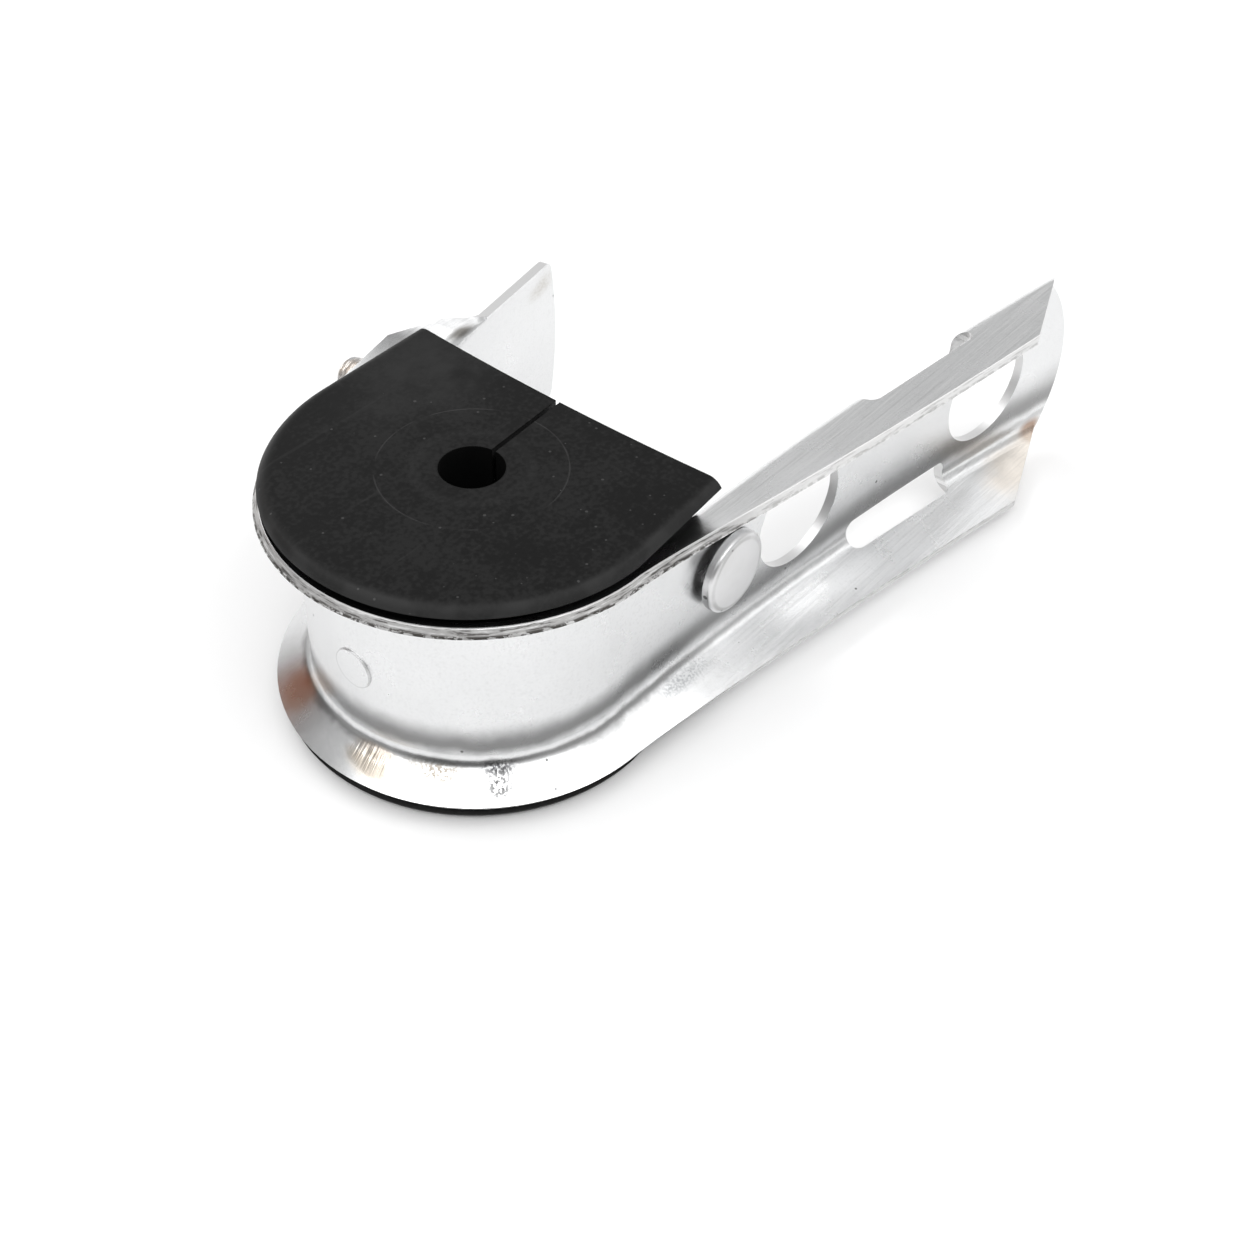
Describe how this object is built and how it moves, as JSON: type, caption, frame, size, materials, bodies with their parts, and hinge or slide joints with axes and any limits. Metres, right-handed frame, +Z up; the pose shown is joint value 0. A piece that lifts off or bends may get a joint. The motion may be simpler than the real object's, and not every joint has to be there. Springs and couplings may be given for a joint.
{
  "type": "cable suspension clamp",
  "caption": "Hook-shaped pressed steel strap with flared flanges round a slit rubber insert with a cable bore, closed by a bolt and nut.",
  "frame": {"origin": "centre of the cable bore's mouth, in the face of the rubber insert that the clamp rests on", "axes": "+Z up along the cable bore; +X along the arms, from the bend to the long arm's tip; the long arm is on the -Y side"},
  "size_m": [0.1326, 0.0883, 0.0385],
  "materials": {
    "zinc_plated_steel": "bright zinc plating, satin, with small pits and scratches",
    "black_rubber": "matt, dusty",
    "bolt_steel": "bright zinc plating, slightly duller than the strap"
  },
  "bodies": {
    "root": {"hook_strap": "zinc_plated_steel", "rubber_insert": "black_rubber", "retaining_bolt": "bolt_steel", "hex_nut": "bolt_steel"}
  },
  "joints": []
}
